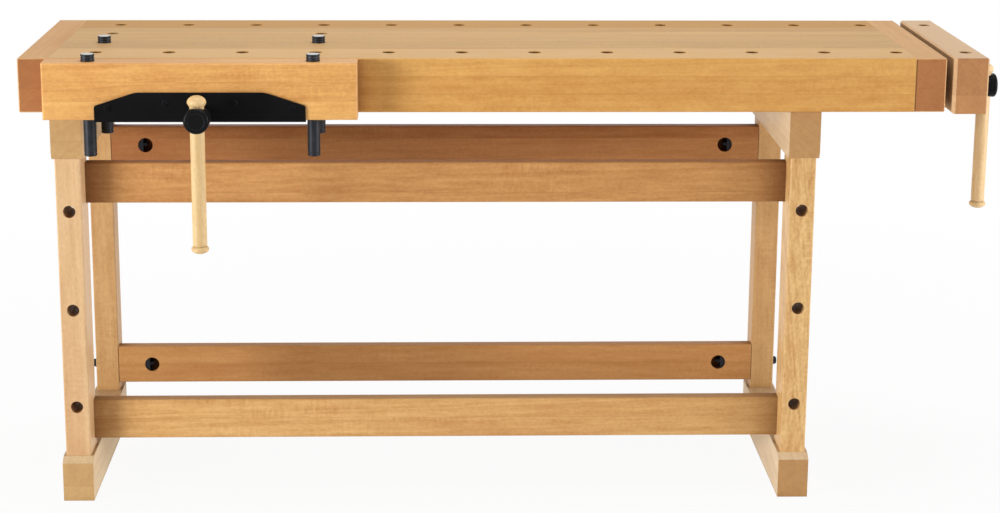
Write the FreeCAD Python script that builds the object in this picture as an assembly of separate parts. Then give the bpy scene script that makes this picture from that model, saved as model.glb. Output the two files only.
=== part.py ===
import FreeCAD, Part
import math
import os

# Cabinetmaker's bench with a front vise and an end vise. All sizes are in millimetres.
# X runs along the bench from left to right, Y from front to back and Z up from the floor.
# The origin is on the floor, below the middle of the whole outline with its vises.

# Top
bench_height = 920.0
top_length = 1830.0
top_depth = 500.0
apron_height = 108.0
apron_depth = 112.0
panel_thickness = 42.0
cap_width = 61.0
top_easing = 2.0

# Dog holes. The outer columns and rows are measured in from the edges of the top.
hole_radius = 12.5
hole_columns = 12
hole_rows = 4
left_column_inset = 142.5
right_column_inset = 85.9
front_row_inset = 74.0
back_row_inset = 66.0
vise_columns_apart = 3
hole_chamfer = 1.0

# Bench dogs
dog_clearance = 0.06
dog_head_radius = 13.4
dog_head_height = 14.0
dog_shank_length = 188.0
dog_chamfer = 1.0
dog_groove_width = 1.6
dog_groove_depth = 0.7
dog_foot_groove_height = 7.0

# Leg frames
left_leg_inset = 87.0
right_leg_inset = 274.0
post_width = 51.0
front_post_depth = 80.0
rear_post_depth = 60.0
post_setback = 20.0
rear_inset = 2.0
leg_beam_width = 62.0
bearer_height = 98.0
bearer_setback = 14.0
bearer_chamfer = 13.0
foot_height = 92.0
foot_setback = 4.0
foot_chamfer = 11.0
batten_width = 40.0
leg_easing = 2.0
tenon_width = 24.0
tenon_shoulder = 15.0
tenon_length = 40.0
post_hole_drop = 108.0
post_hole_rise = 104.0
post_hole_count = 3

# Stretchers and their bolts
stretcher_height = 83.0
stretcher_thickness = 28.0
upper_stretcher_drop = 102.0
lower_stretcher_gap = 19.0
stretcher_easing = 2.0
nut_hole_radius = 16.0
nut_hole_depth = 22.0
nut_hole_distance = 74.0
nut_flat_distance = 5.0
nut_recess = 2.0
stretcher_nut_radius = 6.5
stretcher_nut_height = 6.0
bolt_radius = 4.0
bolt_end = 4.0
bolt_washer_radius = 10.0
bolt_washer_thickness = 2.0
bolt_head_radius = 8.0
bolt_head_height = 6.5
bolt_head_chamfer = 1.6
top_bolt_inset = 58.0
top_bolt_bite = 22.0
overcut = 1.0

# Vises. Heights are taken from the axis of the screw, depths from the outer face of the jaw.
vise_travel = 138.0
screw_drop = 99.0
front_jaw_width = 610.0
front_jaw_thickness = 59.0
end_jaw_thickness = 70.0
end_jaw_opening = 15.0
end_jaw_hole_setback = 39.0
jaw_height = 112.0
jaw_easing = 3.0
jaw_lead_in = 6.0
plate_thickness = 3.5
plate_hole_gap = 1.4
plate_hole_relief = 1.0
plate_shoulder_width = 79.5
plate_end_top = 15.5
plate_top = 41.8
plate_flange_depth = 38.0
plate_shoulder_radius = 40.0
plate_corner_radius = 5.0
plate_bend_radius = 3.0
outer_bolt_inset = 26.0
outer_bolt_height = 12.3
inner_bolt_spacing = 133.0
inner_bolt_height = 22.0
plate_bolt_radius = 3.5
plate_bolt_length = 18.0
plate_bolt_head_radius = 7.5
plate_bolt_head_height = 4.0
plate_bolt_crown_radius = 4.5
screw_radius = 11.0
screw_running = 0.05
screw_passage_clearance = 3.0
curved_gap = 0.3
thrust_gap = 0.2
screw_socket_depth = 25.0
end_chamfer = 1.5
ring_radius = 15.0
ring_thickness = 4.0
ring_clearance = 2.0
rod_radius = 10.0
rod_running = 0.05
rod_wall_distance = 23.0
rod_height = 16.0
rod_passage_clearance = 2.0
hub_radius = 25.0
hub_length = 48.0
hub_reach = 82.0
hub_neck_radius = 16.0
hub_rounding = 6.0
hub_dish_radius = 16.0
hub_dish_depth = 1.5
hub_spot_height = 23.5
hub_spot_radius = 20.0
handle_radius = 14.0
handle_bottom = 265.0
handle_groove_radius = 12.6
handle_groove_width = 2.0
handle_tenon_radius = 8.0
handle_tenon_length = 14.0
knob_seat_gap = 0.1
top_knob_radius = 18.2
top_knob_half_height = 13.0
top_knob_neck_radius = 14.0
top_knob_middle = 10.5
end_knob_radius = 17.3
end_knob_half_height = 9.3
bracket_wall_gap = 4.0
bracket_bottom = 26.0
bracket_top = 44.0
bracket_thickness = 5.0
bracket_rounding = 8.0
bracket_hole_clearance = 2.0
bush_radius = 15.0
bush_length = 30.0
nut_flange_radius = 23.0
nut_flange_thickness = 6.0
nut_radius = 17.0
nut_length = 34.0
bracket_screw_height = 34.0
bracket_screw_inset = 27.0
bracket_screw_radius = 3.5
bracket_screw_length = 25.0
bracket_screw_head_radius = 6.5
bracket_screw_head_height = 4.5

# Values that follow from the ones above
V = FreeCAD.Vector
ALONG = V(1, 0, 0)
BACK = V(0, 1, 0)
UP = V(0, 0, 1)
half_length = top_length / 2
half_depth = top_depth / 2
apron_bottom = bench_height - apron_height
inner_length = top_length - 2 * cap_width
panel_bottom = bench_height - panel_thickness
panel_depth = top_depth - 2 * apron_depth
bearer_bottom = apron_bottom - bearer_height
upper_stretcher_bottom = bearer_bottom - upper_stretcher_drop
lower_stretcher_bottom = foot_height + lower_stretcher_gap
post_hole_top = bearer_bottom - post_hole_drop
post_hole_pitch = (post_hole_top - foot_height - post_hole_rise) / (post_hole_count - 1)
top_bolt_spacing = panel_depth - 2 * top_bolt_inset
front_post_front = post_setback - half_depth
front_post_back = front_post_front + front_post_depth
rear_post_back = half_depth - rear_inset
rear_post_front = rear_post_back - rear_post_depth
leg_centres = [left_leg_inset - half_length, half_length - right_leg_inset]
stretcher_left = leg_centres[0] + post_width / 2
stretcher_right = leg_centres[1] - post_width / 2
columns_length = top_length - left_column_inset - right_column_inset
column_step = columns_length / (hole_columns - 1)
columns = [left_column_inset - half_length + i * column_step for i in range(hole_columns)]
row_step = (top_depth - front_row_inset - back_row_inset) / (hole_rows - 1)
rows = [front_row_inset - half_depth + i * row_step for i in range(hole_rows)]
vise_columns = [columns[0], columns[vise_columns_apart]]
screw_height = bench_height - screw_drop
jaw_top = screw_drop
jaw_bottom = jaw_top - jaw_height
plate_bottom = jaw_bottom - plate_thickness
plate_width = vise_columns[1] - vise_columns[0] - 2 * (hole_radius + plate_hole_gap)
plate_flat_width = plate_width - 2 * plate_shoulder_width
outer_bolt_spacing = plate_width - 2 * outer_bolt_inset
rod_spacing = panel_depth - 2 * rod_wall_distance
bracket_width = panel_depth - 2 * bracket_wall_gap
handle_offset = hub_reach - hub_length / 2
shank_radius = hole_radius - dog_clearance
overhang_right = end_jaw_opening + end_jaw_thickness + hub_reach
overhang_front = front_jaw_thickness + hub_reach
outline_middle = V(overhang_right / 2, -overhang_front / 2, 0)
touching = 0.1
parallel = 1e-6

os.makedirs("parts", exist_ok=True)


def save(shape, node):
    """Write a piece, drawn from below the middle of the top, in the frame of the whole bench."""
    moved = shape.copy()
    moved.translate(outline_middle * -1)
    moved.exportStep("parts/" + node + ".step")


def box(x0, x1, y0, y1, z0, z1):
    return Part.makeBox(x1 - x0, y1 - y0, z1 - z0, V(x0, y0, z0))


def bar(radius, start, direction, length):
    return Part.makeCylinder(radius, length, start, direction)


def hexagon(radius, start, direction, length):
    """A hexagonal head or nut; radius is half its width across the flats."""
    side = Part.Circle(start, direction, radius / math.cos(math.pi / 6))
    corners = [side.value(i * math.pi / 3) for i in range(7)]
    return Part.Face(Part.makePolygon(corners)).extrude(direction * length)


def prism(points, direction):
    """A solid drawn by its outline and pushed along a direction."""
    return Part.Face(Part.makePolygon(points + points[:1])).extrude(direction)


def turned(edges):
    """A piece turned about Z from the edges of half its section, which start and end on the axis."""
    first = edges[0].Vertexes[0].Point
    last = edges[-1].Vertexes[-1].Point
    outline = Part.Wire(edges + [Part.makeLine(last, first)])
    return Part.Face(outline).revolve(V(0, 0, 0), UP, 360)


def lines(points):
    """Straight edges through points given as (radius, height)."""
    spots = [V(radius, 0, height) for radius, height in points]
    return [Part.makeLine(a, b) for a, b in zip(spots, spots[1:])]


def bulge(radius, half_height, middle, start, end):
    """Part of an ellipse in the section of a turned piece, between two angles."""
    centre = V(0, 0, middle)
    ellipse = Part.Ellipse(V(radius, 0, middle), V(0, 0, middle + half_height), centre)
    return Part.ArcOfEllipse(ellipse, start, end).toShape()


def runs_along(edge, direction):
    if not isinstance(edge.Curve, Part.Line):
        return False
    return edge.Curve.Direction.cross(direction).Length < parallel


def ease(shape, size, direction):
    """Chamfer every straight edge that runs along a direction."""
    picked = [edge for edge in shape.Edges if runs_along(edge, direction)]
    return shape.makeChamfer(size, picked)


def ease_outside(shape, size):
    """Chamfer the edges of a piece of the top that lie on the outside of the whole top."""
    picked = []
    for edge in shape.Edges:
        low = edge.BoundBox
        on_end = abs(abs(low.Center.x) - half_length) < touching
        on_side = abs(abs(low.Center.y) - half_depth) < touching
        heights = (bench_height, apron_bottom)
        on_face = min(abs(low.Center.z - height) for height in heights) < touching
        if on_end + on_side + on_face >= 2:
            picked.append(edge)
    return shape.makeChamfer(size, picked)


def drill_dog_holes(shape, spots):
    """Drill upright dog holes with a small chamfer at the top, at (x, y) places."""
    for x, y in spots:
        depth = apron_height + jaw_height
        hole = bar(hole_radius, V(x, y, bench_height - depth), UP, 2 * depth)
        mouth_radius = hole_radius + hole_chamfer
        mouth_foot = V(x, y, bench_height - hole_chamfer)
        mouth = Part.makeCone(hole_radius, mouth_radius, hole_chamfer, mouth_foot, UP)
        shape = shape.cut(hole).cut(mouth)
    return shape


def place(shape, spot, turn):
    """Move a vise piece from its own frame to its place on the bench."""
    moved = shape.copy()
    moved.rotate(V(0, 0, 0), UP, turn)
    moved.translate(spot)
    return moved


def outward(shape, face):
    """Lay a piece that was turned about Z along -Y, with its foot at y = face."""
    laid = shape.copy()
    laid.rotate(V(0, 0, 0), ALONG, 90)
    laid.translate(V(0, face, 0))
    return laid


def open_slot(radius, start, end, bottom):
    """A round passage along Y whose sides run straight down and out at the bottom."""
    passage = bar(radius, V(0, start, 0), BACK, end - start)
    return passage.fuse(box(-radius, radius, start, end, bottom - overcut, 0))


def bolt(start, direction, length):
    """A hexagon-headed bolt on a washer; start is on the face it clamps."""
    washer = bar(bolt_washer_radius, start, direction * -1, bolt_washer_thickness)
    seat = start - direction * bolt_washer_thickness
    head = hexagon(bolt_head_radius, seat, direction * -1, bolt_head_height)
    tip = bolt_head_radius - bolt_head_chamfer
    foot = tip + bolt_head_height
    head = head.common(Part.makeCone(foot, tip, bolt_head_height, seat, direction * -1))
    shank = bar(bolt_radius, seat, direction, length + bolt_washer_thickness)
    return washer.fuse([head, shank]).removeSplitter()


def group(shapes):
    return Part.makeCompound(shapes)


def vise_wall_cut(wall):
    """What the screw, the guide rods and the bracket screws take out of the wall behind the jaw."""
    passage = screw_radius + screw_passage_clearance
    cut = open_slot(passage, 0, wall, apron_bottom - screw_height)
    for side in (-1, 1):
        spot = V(side * rod_spacing / 2, 0, rod_height)
        cut = cut.fuse(bar(rod_radius + rod_passage_clearance, spot, BACK, wall))
    for x in bracket_screw_places():
        spot = V(x, wall - bracket_screw_length, bracket_screw_height)
        cut = cut.fuse(bar(bracket_screw_radius, spot, BACK, bracket_screw_length))
    return cut


def bracket_screw_places():
    outer = rod_spacing / 2 - bracket_screw_inset
    return [-outer, -outer / 2, outer / 2, outer]


def plate_bolt_places():
    places = []
    for side in (-1, 1):
        places.append((side * outer_bolt_spacing / 2, outer_bolt_height))
        places.append((side * inner_bolt_spacing / 2, inner_bolt_height))
    return places


def upright_corners(plate, distance):
    """Edges through the plate at its corners above the bottom, a distance left and right of its middle."""
    picked = []
    for edge in plate.Edges:
        spot = edge.CenterOfMass
        at_corner = abs(abs(spot.x) - distance) < touching and spot.z > plate_bottom + overcut
        if runs_along(edge, BACK) and at_corner:
            picked.append(edge)
    return picked


def jaw_plate(face):
    """Pressed steel plate on the jaw, bent under its bottom edge, with sloping shoulders."""
    end = plate_width / 2
    flat = plate_flat_width / 2
    outline = [(-end, plate_bottom), (end, plate_bottom), (end, plate_end_top)]
    outline += [(flat, plate_top), (-flat, plate_top), (-end, plate_end_top)]
    front = face - plate_thickness
    plate = prism([V(x, front, z) for x, z in outline], BACK * plate_thickness)
    plate = plate.makeFillet(plate_shoulder_radius, upright_corners(plate, flat))
    plate = plate.makeFillet(plate_corner_radius, upright_corners(plate, end))
    flange = box(-end, end, front, face + plate_flange_depth, plate_bottom, jaw_bottom)
    flange = ease(flange, plate_corner_radius, UP)
    square_front = box(-end, end, front, face, plate_bottom, jaw_bottom)
    plate = plate.fuse([flange, square_front]).removeSplitter()
    bend = []
    for edge in plate.Edges:
        spot = edge.CenterOfMass
        at_bend = abs(spot.y - front) < touching and abs(spot.z - plate_bottom) < touching
        if runs_along(edge, ALONG) and at_bend:
            bend.append(edge)
    plate = plate.makeFillet(plate_bend_radius, bend)
    relief = ring_radius + ring_clearance
    relief_end = face + ring_thickness + ring_clearance
    below = plate_bottom - overcut
    plate = plate.cut(box(-relief, relief, face, relief_end, below, jaw_bottom + overcut))
    hole = bar(screw_radius + curved_gap, V(0, front, 0), BACK, plate_thickness)
    plate = plate.cut(hole)
    for x, z in plate_bolt_places():
        plate = plate.cut(bar(plate_bolt_radius, V(x, front, z), BACK, plate_thickness))
    return plate


def plate_bolts(face):
    """Round-headed screws that hold the plate to the jaw."""
    front = face - plate_thickness
    bolts = []
    for x, z in plate_bolt_places():
        start = V(x, front, z)
        radii = (plate_bolt_head_radius, plate_bolt_crown_radius)
        head = Part.makeCone(radii[0], radii[1], plate_bolt_head_height, start, BACK * -1)
        length = plate_thickness + plate_bolt_length
        bolts.append(head.fuse(bar(plate_bolt_radius, start, BACK, length)))
    return group(bolts)


def vise_hub(face):
    """Round hub on the screw, with a neck that pushes on the plate and a cross hole for the handle."""
    foot = plate_thickness + thrust_gap
    body_start = hub_reach - hub_length
    neck = bar(hub_neck_radius, V(0, 0, foot), UP, body_start - foot)
    body = bar(hub_radius, V(0, 0, body_start), UP, hub_length)
    rims = [edge for edge in body.Edges if isinstance(edge.Curve, Part.Circle)]
    body = body.makeFillet(hub_rounding, rims)
    hub = body.fuse(neck).removeSplitter()
    dish_foot = V(0, 0, hub_reach - hub_dish_depth)
    hub = hub.cut(bar(hub_dish_radius, dish_foot, UP, hub_dish_depth))
    hub = hub.cut(bar(screw_radius, V(0, 0, foot), UP, screw_socket_depth - foot))
    hub = outward(hub, face)
    axis_y = face - handle_offset
    deep = 2 * hub_radius
    hub = hub.cut(bar(handle_radius + curved_gap, V(0, axis_y, -deep), UP, 2 * deep))
    for side in (-1, 1):
        spot = V(0, axis_y, side * hub_spot_height)
        hub = hub.cut(bar(hub_spot_radius, spot, UP * side, deep))
    return hub


def handle_bar(face):
    """Turned bar with a rounded end below and a tenon for the top knob."""
    neck_angle = math.acos(handle_groove_radius / end_knob_radius)
    middle = end_knob_half_height - handle_bottom
    end = bulge(end_knob_radius, end_knob_half_height, middle, -math.pi / 2, neck_angle)
    groove_foot = middle + end_knob_half_height * math.sin(neck_angle)
    groove_top = groove_foot + handle_groove_width
    seat = hub_spot_height
    points = [(handle_groove_radius, groove_foot), (handle_groove_radius, groove_top)]
    points += [(handle_radius, groove_top), (handle_radius, seat), (handle_tenon_radius, seat)]
    points += [(handle_tenon_radius, seat + handle_tenon_length), (0, seat + handle_tenon_length)]
    piece = turned([end] + lines(points))
    piece.translate(V(0, face - handle_offset, 0))
    return piece


def handle_knob(face):
    """Flattened ball on top of the handle, turned upside down; its foot rests on the flat of the hub."""
    neck_angle = math.acos(top_knob_neck_radius / top_knob_radius)
    foot = -hub_spot_height - knob_seat_gap
    middle = -hub_spot_height - top_knob_middle
    neck_start = middle + top_knob_half_height * math.sin(neck_angle)
    socket_end = -hub_spot_height - handle_tenon_length
    ball = bulge(top_knob_radius, top_knob_half_height, middle, -math.pi / 2, neck_angle)
    points = [(top_knob_neck_radius, neck_start), (top_knob_neck_radius, foot)]
    points += [(handle_tenon_radius, foot), (handle_tenon_radius, socket_end), (0, socket_end)]
    piece = turned([ball] + lines(points))
    piece.rotate(V(0, 0, 0), ALONG, 180)
    piece.translate(V(0, face - handle_offset, 0))
    return piece


def bracket(wall):
    """Steel plate behind the wall with a guide bush for each rod."""
    back = wall + bracket_thickness
    half = bracket_width / 2
    plate = box(-half, half, wall, back, -bracket_bottom, bracket_top)
    plate = plate.makeFillet(bracket_rounding, [e for e in plate.Edges if runs_along(e, BACK)])
    sides = [side * rod_spacing / 2 for side in (-1, 1)]
    for x in sides:
        plate = plate.fuse(bar(bush_radius, V(x, wall, rod_height), BACK, bracket_thickness + bush_length))
    for x in sides:
        bore = bar(rod_radius + rod_running, V(x, wall, rod_height), BACK, bracket_thickness + bush_length)
        plate = plate.cut(bore)
    passage = screw_radius + bracket_hole_clearance
    plate = plate.cut(bar(passage, V(0, wall, 0), BACK, bracket_thickness))
    for x in bracket_screw_places():
        spot = V(x, wall, bracket_screw_height)
        plate = plate.cut(bar(bracket_screw_radius, spot, BACK, bracket_thickness))
    return plate.removeSplitter()


def vise_nut(wall):
    back = wall + bracket_thickness
    flange = bar(nut_flange_radius, V(0, back, 0), BACK, nut_flange_thickness)
    nut = flange.fuse(bar(nut_radius, V(0, back, 0), BACK, nut_length)).removeSplitter()
    return nut.cut(bar(screw_radius + screw_running, V(0, back, 0), BACK, nut_length))


def bracket_screws(wall):
    back = wall + bracket_thickness
    screws = []
    for x in bracket_screw_places():
        seat = V(x, back, bracket_screw_height)
        head = hexagon(bracket_screw_head_radius, seat, BACK, bracket_screw_head_height)
        length = bracket_thickness + bracket_screw_length
        screws.append(head.fuse(bar(bracket_screw_radius, seat, BACK * -1, length)).removeSplitter())
    return group(screws)


def vise_jaw(thickness, width, opening):
    """Wooden jaw with the passages for the screw, the ring on it and the rods."""
    face = -opening - thickness
    jaw = box(-width / 2, width / 2, face, -opening, jaw_bottom, jaw_top)
    jaw = ease(jaw, jaw_easing, ALONG)
    for side_y, size in ((face, jaw_easing), (-opening, jaw_lead_in)):
        upright = [e for e in jaw.Edges if runs_along(e, UP)]
        corners = [e for e in upright if abs(e.CenterOfMass.y - side_y) < touching]
        jaw = jaw.makeChamfer(size, corners)
    passage = screw_radius + screw_passage_clearance
    jaw = jaw.cut(open_slot(passage, face, -opening, jaw_bottom))
    pocket_end = face + ring_thickness + ring_clearance
    jaw = jaw.cut(open_slot(ring_radius + ring_clearance, face, pocket_end, jaw_bottom))
    for side in (-1, 1):
        spot = V(side * rod_spacing / 2, face, rod_height)
        jaw = jaw.cut(bar(rod_radius, spot, BACK, thickness))
    for x, z in plate_bolt_places():
        jaw = jaw.cut(bar(plate_bolt_radius, V(x, face, z), BACK, plate_bolt_length))
    return jaw


def build_vise(name, spot, turn, wall, thickness, width, opening, dog_spots):
    """Save every piece of a vise. The dog holes go through its jaw and the plate's flange below."""
    face = -opening - thickness
    reach = wall + bracket_thickness + vise_travel - opening
    screw_start = face - screw_socket_depth
    screw = bar(screw_radius, V(0, screw_start, 0), BACK, reach + nut_length - screw_start)
    ring_start = face + thrust_gap
    ring = bar(ring_radius, V(0, ring_start, 0), BACK, ring_thickness)
    ring = ring.cut(bar(screw_radius, V(0, ring_start, 0), BACK, ring_thickness))
    rods = []
    for side in (-1, 1):
        start = V(side * rod_spacing / 2, face, rod_height)
        rod = bar(rod_radius, start, BACK, reach + bush_length - face)
        tip = [e for e in rod.Edges if abs(e.CenterOfMass.y - reach - bush_length) < touching]
        rods.append(rod.makeChamfer(end_chamfer, tip))
    jaw = place(vise_jaw(thickness, width, opening), spot, turn)
    save(drill_dog_holes(jaw, dog_spots), name + "_jaw")
    plate = place(jaw_plate(face), spot, turn)
    for x, y in dog_spots:
        plate = plate.cut(bar(hole_radius + plate_hole_relief, V(x, y, 0), UP, bench_height))
    save(plate, name + "_jaw_plate")
    pieces = {
        "plate_screws": plate_bolts(face),
        "guide_rods": group(rods),
        "screw": screw,
        "hub": vise_hub(face),
        "retaining_ring": ring,
        "handle_bar": handle_bar(face),
        "handle_knob": handle_knob(face),
        "bracket": bracket(wall),
        "nut": vise_nut(wall),
        "bracket_screws": bracket_screws(wall),
    }
    for piece, shape in pieces.items():
        save(place(shape, spot, turn), name + "_" + piece)


# Where each vise stands: its own frame has the wall's outer face at y = 0
front_spot = V(sum(vise_columns) / 2, -half_depth, screw_height)
end_spot = V(half_length, 0, screw_height)
end_turn = 90

# Aprons, panel boards and end caps
half_inner = inner_length / 2
front_holes = [(x, rows[0]) for x in columns]
rear_holes = [(x, rows[-1]) for x in columns]
middle_holes = [(x, y) for x in vise_columns for y in rows[1:-1]]
apron_back = apron_depth - half_depth
front_apron = box(-half_inner, half_inner, -half_depth, apron_back, apron_bottom, bench_height)
front_apron = drill_dog_holes(ease_outside(front_apron, top_easing), front_holes)
front_apron = front_apron.cut(place(vise_wall_cut(apron_depth), front_spot, 0))
save(front_apron, "front_apron")
rear_apron = box(-half_inner, half_inner, -apron_back, half_depth, apron_bottom, bench_height)
save(drill_dog_holes(ease_outside(rear_apron, top_easing), rear_holes), "rear_apron")
for name, side in (("front", -1), ("rear", 1)):
    near, far = sorted((0, side * panel_depth / 2))
    board = box(-half_inner, half_inner, near, far, panel_bottom, bench_height)
    board = drill_dog_holes(board, [spot for spot in middle_holes if near < spot[1] < far])
    for centre in leg_centres:
        spot = V(centre, side * top_bolt_spacing / 2, panel_bottom)
        board = board.cut(bar(bolt_radius, spot, UP, top_bolt_bite))
    save(board, name + "_panel_board")
left_cap = box(-half_length, -half_inner, -half_depth, half_depth, apron_bottom, bench_height)
save(ease_outside(left_cap, top_easing), "left_end_cap")
right_cap = box(half_inner, half_length, -half_depth, half_depth, apron_bottom, bench_height)
right_cap = ease_outside(right_cap, top_easing)
save(right_cap.cut(place(vise_wall_cut(cap_width), end_spot, end_turn)), "right_end_cap")


def leg_beam(centre, setback, bottom, height, chamfer, chamfer_top):
    """A beam across the bench with its front corner cut off, above or below, as far back as the post."""
    side = centre - leg_beam_width / 2
    front = setback - half_depth
    back = half_depth - rear_inset
    top = bottom + height
    if chamfer_top:
        outline = [(front, bottom), (back, bottom), (back, top)]
        outline += [(front_post_front, top), (front, top - chamfer)]
    else:
        outline = [(front, top), (front, bottom + chamfer), (front_post_front, bottom)]
        outline += [(back, bottom), (back, top)]
    return prism([V(side, y, z) for y, z in outline], ALONG * leg_beam_width)


def tenon(centre, front, depth, bottom):
    """Tenon of a post, and the mortise it fills."""
    half = tenon_width / 2
    near = front + tenon_shoulder
    far = front + depth - tenon_shoulder
    return box(centre - half, centre + half, near, far, bottom, bottom + tenon_length)


def stretcher_bolt_places():
    """(y, z) of the bolts through the posts into the ends of the stretchers."""
    places = []
    for y in (front_post_back - stretcher_thickness / 2, rear_post_front + stretcher_thickness / 2):
        for bottom in (upper_stretcher_bottom, lower_stretcher_bottom):
            places.append((y, bottom + stretcher_height / 2))
    return places


# Leg frames
bolts = []
top_bolts = []
for name, centre, side in (("left", leg_centres[0], -1), ("right", leg_centres[1], 1)):
    posts = (("front", front_post_front, front_post_depth), ("rear", rear_post_front, rear_post_depth))
    bearer = leg_beam(centre, bearer_setback, bearer_bottom, bearer_height, bearer_chamfer, False)
    foot = leg_beam(centre, foot_setback, 0, foot_height, foot_chamfer, True)
    for place_name, front, depth in posts:
        half = post_width / 2
        post = box(centre - half, centre + half, front, front + depth, foot_height, bearer_bottom)
        post = ease(post, leg_easing, UP)
        lower_tenon = tenon(centre, front, depth, foot_height - tenon_length)
        upper_tenon = tenon(centre, front, depth, bearer_bottom)
        foot = foot.cut(lower_tenon)
        bearer = bearer.cut(upper_tenon)
        post = post.fuse([lower_tenon, upper_tenon]).removeSplitter()
        if place_name == "front":
            for i in range(post_hole_count):
                spot = V(centre, front, post_hole_top - i * post_hole_pitch)
                post = post.cut(bar(hole_radius, spot, BACK, depth))
        for y, z in stretcher_bolt_places():
            if front < y < front + depth:
                start = V(centre + side * half, y, z)
                inward = ALONG * -side
                length = post_width + nut_hole_distance + bolt_end
                post = post.cut(bar(bolt_radius, start, inward, post_width))
                bolts.append(bolt(start, inward, length))
        save(post, name + "_" + place_name + "_post")
    batten_half = batten_width / 2
    left, right = centre - batten_half, centre + batten_half
    batten = box(left, right, -panel_depth / 2, panel_depth / 2, apron_bottom, panel_bottom)
    for end in (-1, 1):
        start = V(centre, end * top_bolt_spacing / 2, bearer_bottom)
        length = bearer_height + panel_bottom - apron_bottom + top_bolt_bite
        hole = bar(bolt_radius, start, UP, length)
        bearer = bearer.cut(hole)
        batten = batten.cut(hole)
        top_bolts.append(bolt(start, UP, length))
    save(bearer, name + "_bearer")
    save(foot, name + "_foot")
    save(batten, name + "_batten")
save(group(bolts), "stretcher_bolts")
save(group(top_bolts), "top_bolts")

# Stretchers: the front ones lie against the backs of the posts, the rear ones against their fronts
nuts = []
pairs = (("front", front_post_back - stretcher_thickness, 1), ("rear", rear_post_front, -1))
levels = (("upper", upper_stretcher_bottom), ("lower", lower_stretcher_bottom))
for place_name, front, inside in pairs:
    for level, bottom in levels:
        back = front + stretcher_thickness
        rail = box(stretcher_left, stretcher_right, front, back, bottom, bottom + stretcher_height)
        rail = ease(rail, stretcher_easing, ALONG)
        middle = bottom + stretcher_height / 2
        mouth = back if inside > 0 else front
        into = BACK * -inside
        for end, side in ((stretcher_left, 1), (stretcher_right, -1)):
            nut_x = end + side * nut_hole_distance
            spot = V(nut_x, mouth, middle)
            rail = rail.cut(bar(nut_hole_radius, spot, into, nut_hole_depth))
            bolt_start = V(end, (front + back) / 2, middle)
            rail = rail.cut(bar(bolt_radius, bolt_start, ALONG * side, nut_hole_distance))
            nut_depth = nut_hole_depth - nut_recess
            half_moon = bar(nut_hole_radius, spot + into * nut_recess, into, nut_depth)
            flat = nut_x - side * nut_flat_distance
            keep = sorted((flat, flat - side * 2 * nut_hole_radius))
            top = bottom + stretcher_height
            half_moon = half_moon.common(box(keep[0], keep[1], front, back, bottom, top))
            seat = V(flat, (front + back) / 2, middle)
            hex_nut = hexagon(stretcher_nut_radius, seat, ALONG * side, stretcher_nut_height)
            shank = bar(bolt_radius, bolt_start, ALONG * side, 2 * nut_hole_distance)
            nuts.append(half_moon.fuse(hex_nut).removeSplitter().cut(shank))
        save(rail, place_name + "_" + level + "_stretcher")
save(group(nuts), "stretcher_nuts")

# Vises
front_jaw_middle = -half_depth - front_jaw_thickness / 2
end_jaw_holes_x = half_length + end_jaw_opening + end_jaw_hole_setback
front_dogs = [(x, front_jaw_middle) for x in vise_columns]
end_dogs = [(end_jaw_holes_x, y) for y in (rows[0], rows[-1])]
front_sizes = (front_jaw_thickness, front_jaw_width, 0)
end_sizes = (end_jaw_thickness, top_depth, end_jaw_opening)
build_vise("front", front_spot, 0, apron_depth, *front_sizes, front_dogs)
build_vise("end", end_spot, end_turn, cap_width, *end_sizes, end_dogs)


def dog():
    """Round bench dog with grooves round its head and its foot, standing with its shoulder at z = 0."""
    foot = -dog_shank_length
    points = [(0, foot), (shank_radius - dog_chamfer, foot), (shank_radius, foot + dog_chamfer)]
    groove = foot + dog_foot_groove_height
    points += groove_points(shank_radius, groove)
    points += [(shank_radius, 0), (dog_head_radius, 0)]
    points += groove_points(dog_head_radius, dog_head_height / 3)
    points += groove_points(dog_head_radius, dog_head_height * 2 / 3)
    points += [(dog_head_radius, dog_head_height - dog_chamfer)]
    points += [(dog_head_radius - dog_chamfer, dog_head_height), (0, dog_head_height)]
    return turned(lines(points))


def groove_points(radius, height):
    inner = radius - dog_groove_depth
    low = height - dog_groove_width / 2
    high = height + dog_groove_width / 2
    return [(radius, low), (inner, low), (inner, high), (radius, high)]


# Bench dogs: one pair in the front jaw, one pair in the second row of the top
for name, x in (("left", vise_columns[0]), ("right", vise_columns[1])):
    for row_name, y in (("jaw", front_jaw_middle), ("top", rows[1])):
        piece = dog()
        piece.translate(V(x, y, bench_height))
        save(piece, name + "_" + row_name + "_dog")
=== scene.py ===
import math

import bmesh
import bpy
from mathutils import Matrix, Vector


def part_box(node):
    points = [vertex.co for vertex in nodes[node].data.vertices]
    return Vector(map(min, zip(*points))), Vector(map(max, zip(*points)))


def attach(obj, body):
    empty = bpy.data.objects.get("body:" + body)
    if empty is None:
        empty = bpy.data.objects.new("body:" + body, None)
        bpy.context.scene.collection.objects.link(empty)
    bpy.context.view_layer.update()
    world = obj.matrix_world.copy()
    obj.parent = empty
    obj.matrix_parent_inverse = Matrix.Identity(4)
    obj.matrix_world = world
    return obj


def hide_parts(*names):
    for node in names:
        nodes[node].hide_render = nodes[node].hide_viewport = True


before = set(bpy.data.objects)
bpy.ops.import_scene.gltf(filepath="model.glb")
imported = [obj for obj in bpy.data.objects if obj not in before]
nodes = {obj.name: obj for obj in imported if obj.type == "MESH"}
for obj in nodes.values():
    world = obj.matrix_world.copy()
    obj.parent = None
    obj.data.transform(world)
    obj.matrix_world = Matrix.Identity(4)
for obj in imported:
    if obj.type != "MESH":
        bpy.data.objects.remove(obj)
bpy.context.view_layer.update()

# Looks of a cabinetmaker's bench with two vises. Lengths are metres unless a name says mm.
MM = 0.001
AXES = {"X": 0, "Y": 1, "Z": 2}


# ---------------------------------------------------------------- tools for the materials

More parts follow.
